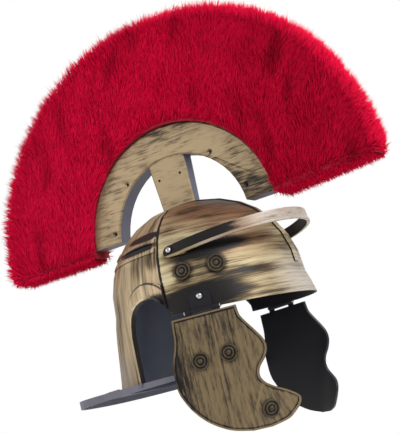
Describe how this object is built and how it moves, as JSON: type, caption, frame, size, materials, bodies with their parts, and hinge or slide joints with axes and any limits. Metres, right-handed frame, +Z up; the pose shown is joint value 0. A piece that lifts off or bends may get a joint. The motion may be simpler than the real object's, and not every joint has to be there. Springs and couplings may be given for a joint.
{
  "type": "roman legionary helmet",
  "caption": "costume Roman legionary helmet: moulded bowl with ear openings, neck guard and brow guard, hinged cheek guards, and a red plume along the crown on an arched crest holder",
  "frame": {"origin": "inside the crown, where the top of the wearer's head holds the helmet", "axes": "+X to the wearer's left, -Y to the front, +Z up; the crest runs along Y"},
  "size_m": [0.211, 0.4669, 0.4494],
  "materials": {
    "bowl_gold": "moulded black plastic with a dry-brushed antique gold face, plain black inside",
    "crest_gold": "moulded black plastic, dry-brushed antique gold on its faces, dark grey at the inner edge",
    "brow_gold": "moulded black plastic band, gold face and black inside",
    "guard_bronze": "moulded black plastic, brushed olive bronze outside with a lighter border, black inside",
    "rosette_bronze": "moulded concentric boss, bronze with dark grooves",
    "hinge_black": "black hinge leaf",
    "rivet_steel": "bright domed rivet and hinge pin",
    "red_fur": "deep-pile red plush over a soft half-ring core"
  },
  "bodies": {
    "helmet": {"front_shell": "bowl_gold", "rear_shell": "bowl_gold", "crest_arch": "crest_gold", "crest_plume": "red_fur", "brow_guard": "brow_gold", "bowl_rosette_left_rear": "rosette_bronze", "bowl_rosette_left_front": "rosette_bronze", "brow_rivet_left": "rivet_steel", "hinge_leaf_left": "hinge_black", "hinge_pin_left": "rivet_steel", "hinge_rivet_left": "rivet_steel", "bowl_rosette_right_rear": "rosette_bronze", "bowl_rosette_right_front": "rosette_bronze", "brow_rivet_right": "rivet_steel", "hinge_leaf_right": "hinge_black", "hinge_pin_right": "rivet_steel", "hinge_rivet_right": "rivet_steel"},
    "cheek_left": {"cheek_guard_left": "guard_bronze", "cheek_rosette_left_upper_rear": "rosette_bronze", "cheek_rosette_left_upper_front": "rosette_bronze", "cheek_rosette_left_chin": "rosette_bronze"},
    "cheek_right": {"cheek_guard_right": "guard_bronze", "cheek_rosette_right_upper_rear": "rosette_bronze", "cheek_rosette_right_upper_front": "rosette_bronze", "cheek_rosette_right_chin": "rosette_bronze"}
  },
  "joints": [
    {"name": "cheek_hinge_left", "type": "hinge", "parent": "helmet", "child": "cheek_left", "pos_m": [0.08981, -0.04075, -0.118], "axis": [-0.278, -0.9606, 0], "range_deg": [-20, 110]},
    {"name": "cheek_hinge_right", "type": "hinge", "parent": "helmet", "child": "cheek_right", "pos_m": [-0.08981, -0.04075, -0.118], "axis": [-0.278, 0.9606, 0], "range_deg": [-20, 110]}
  ]
}
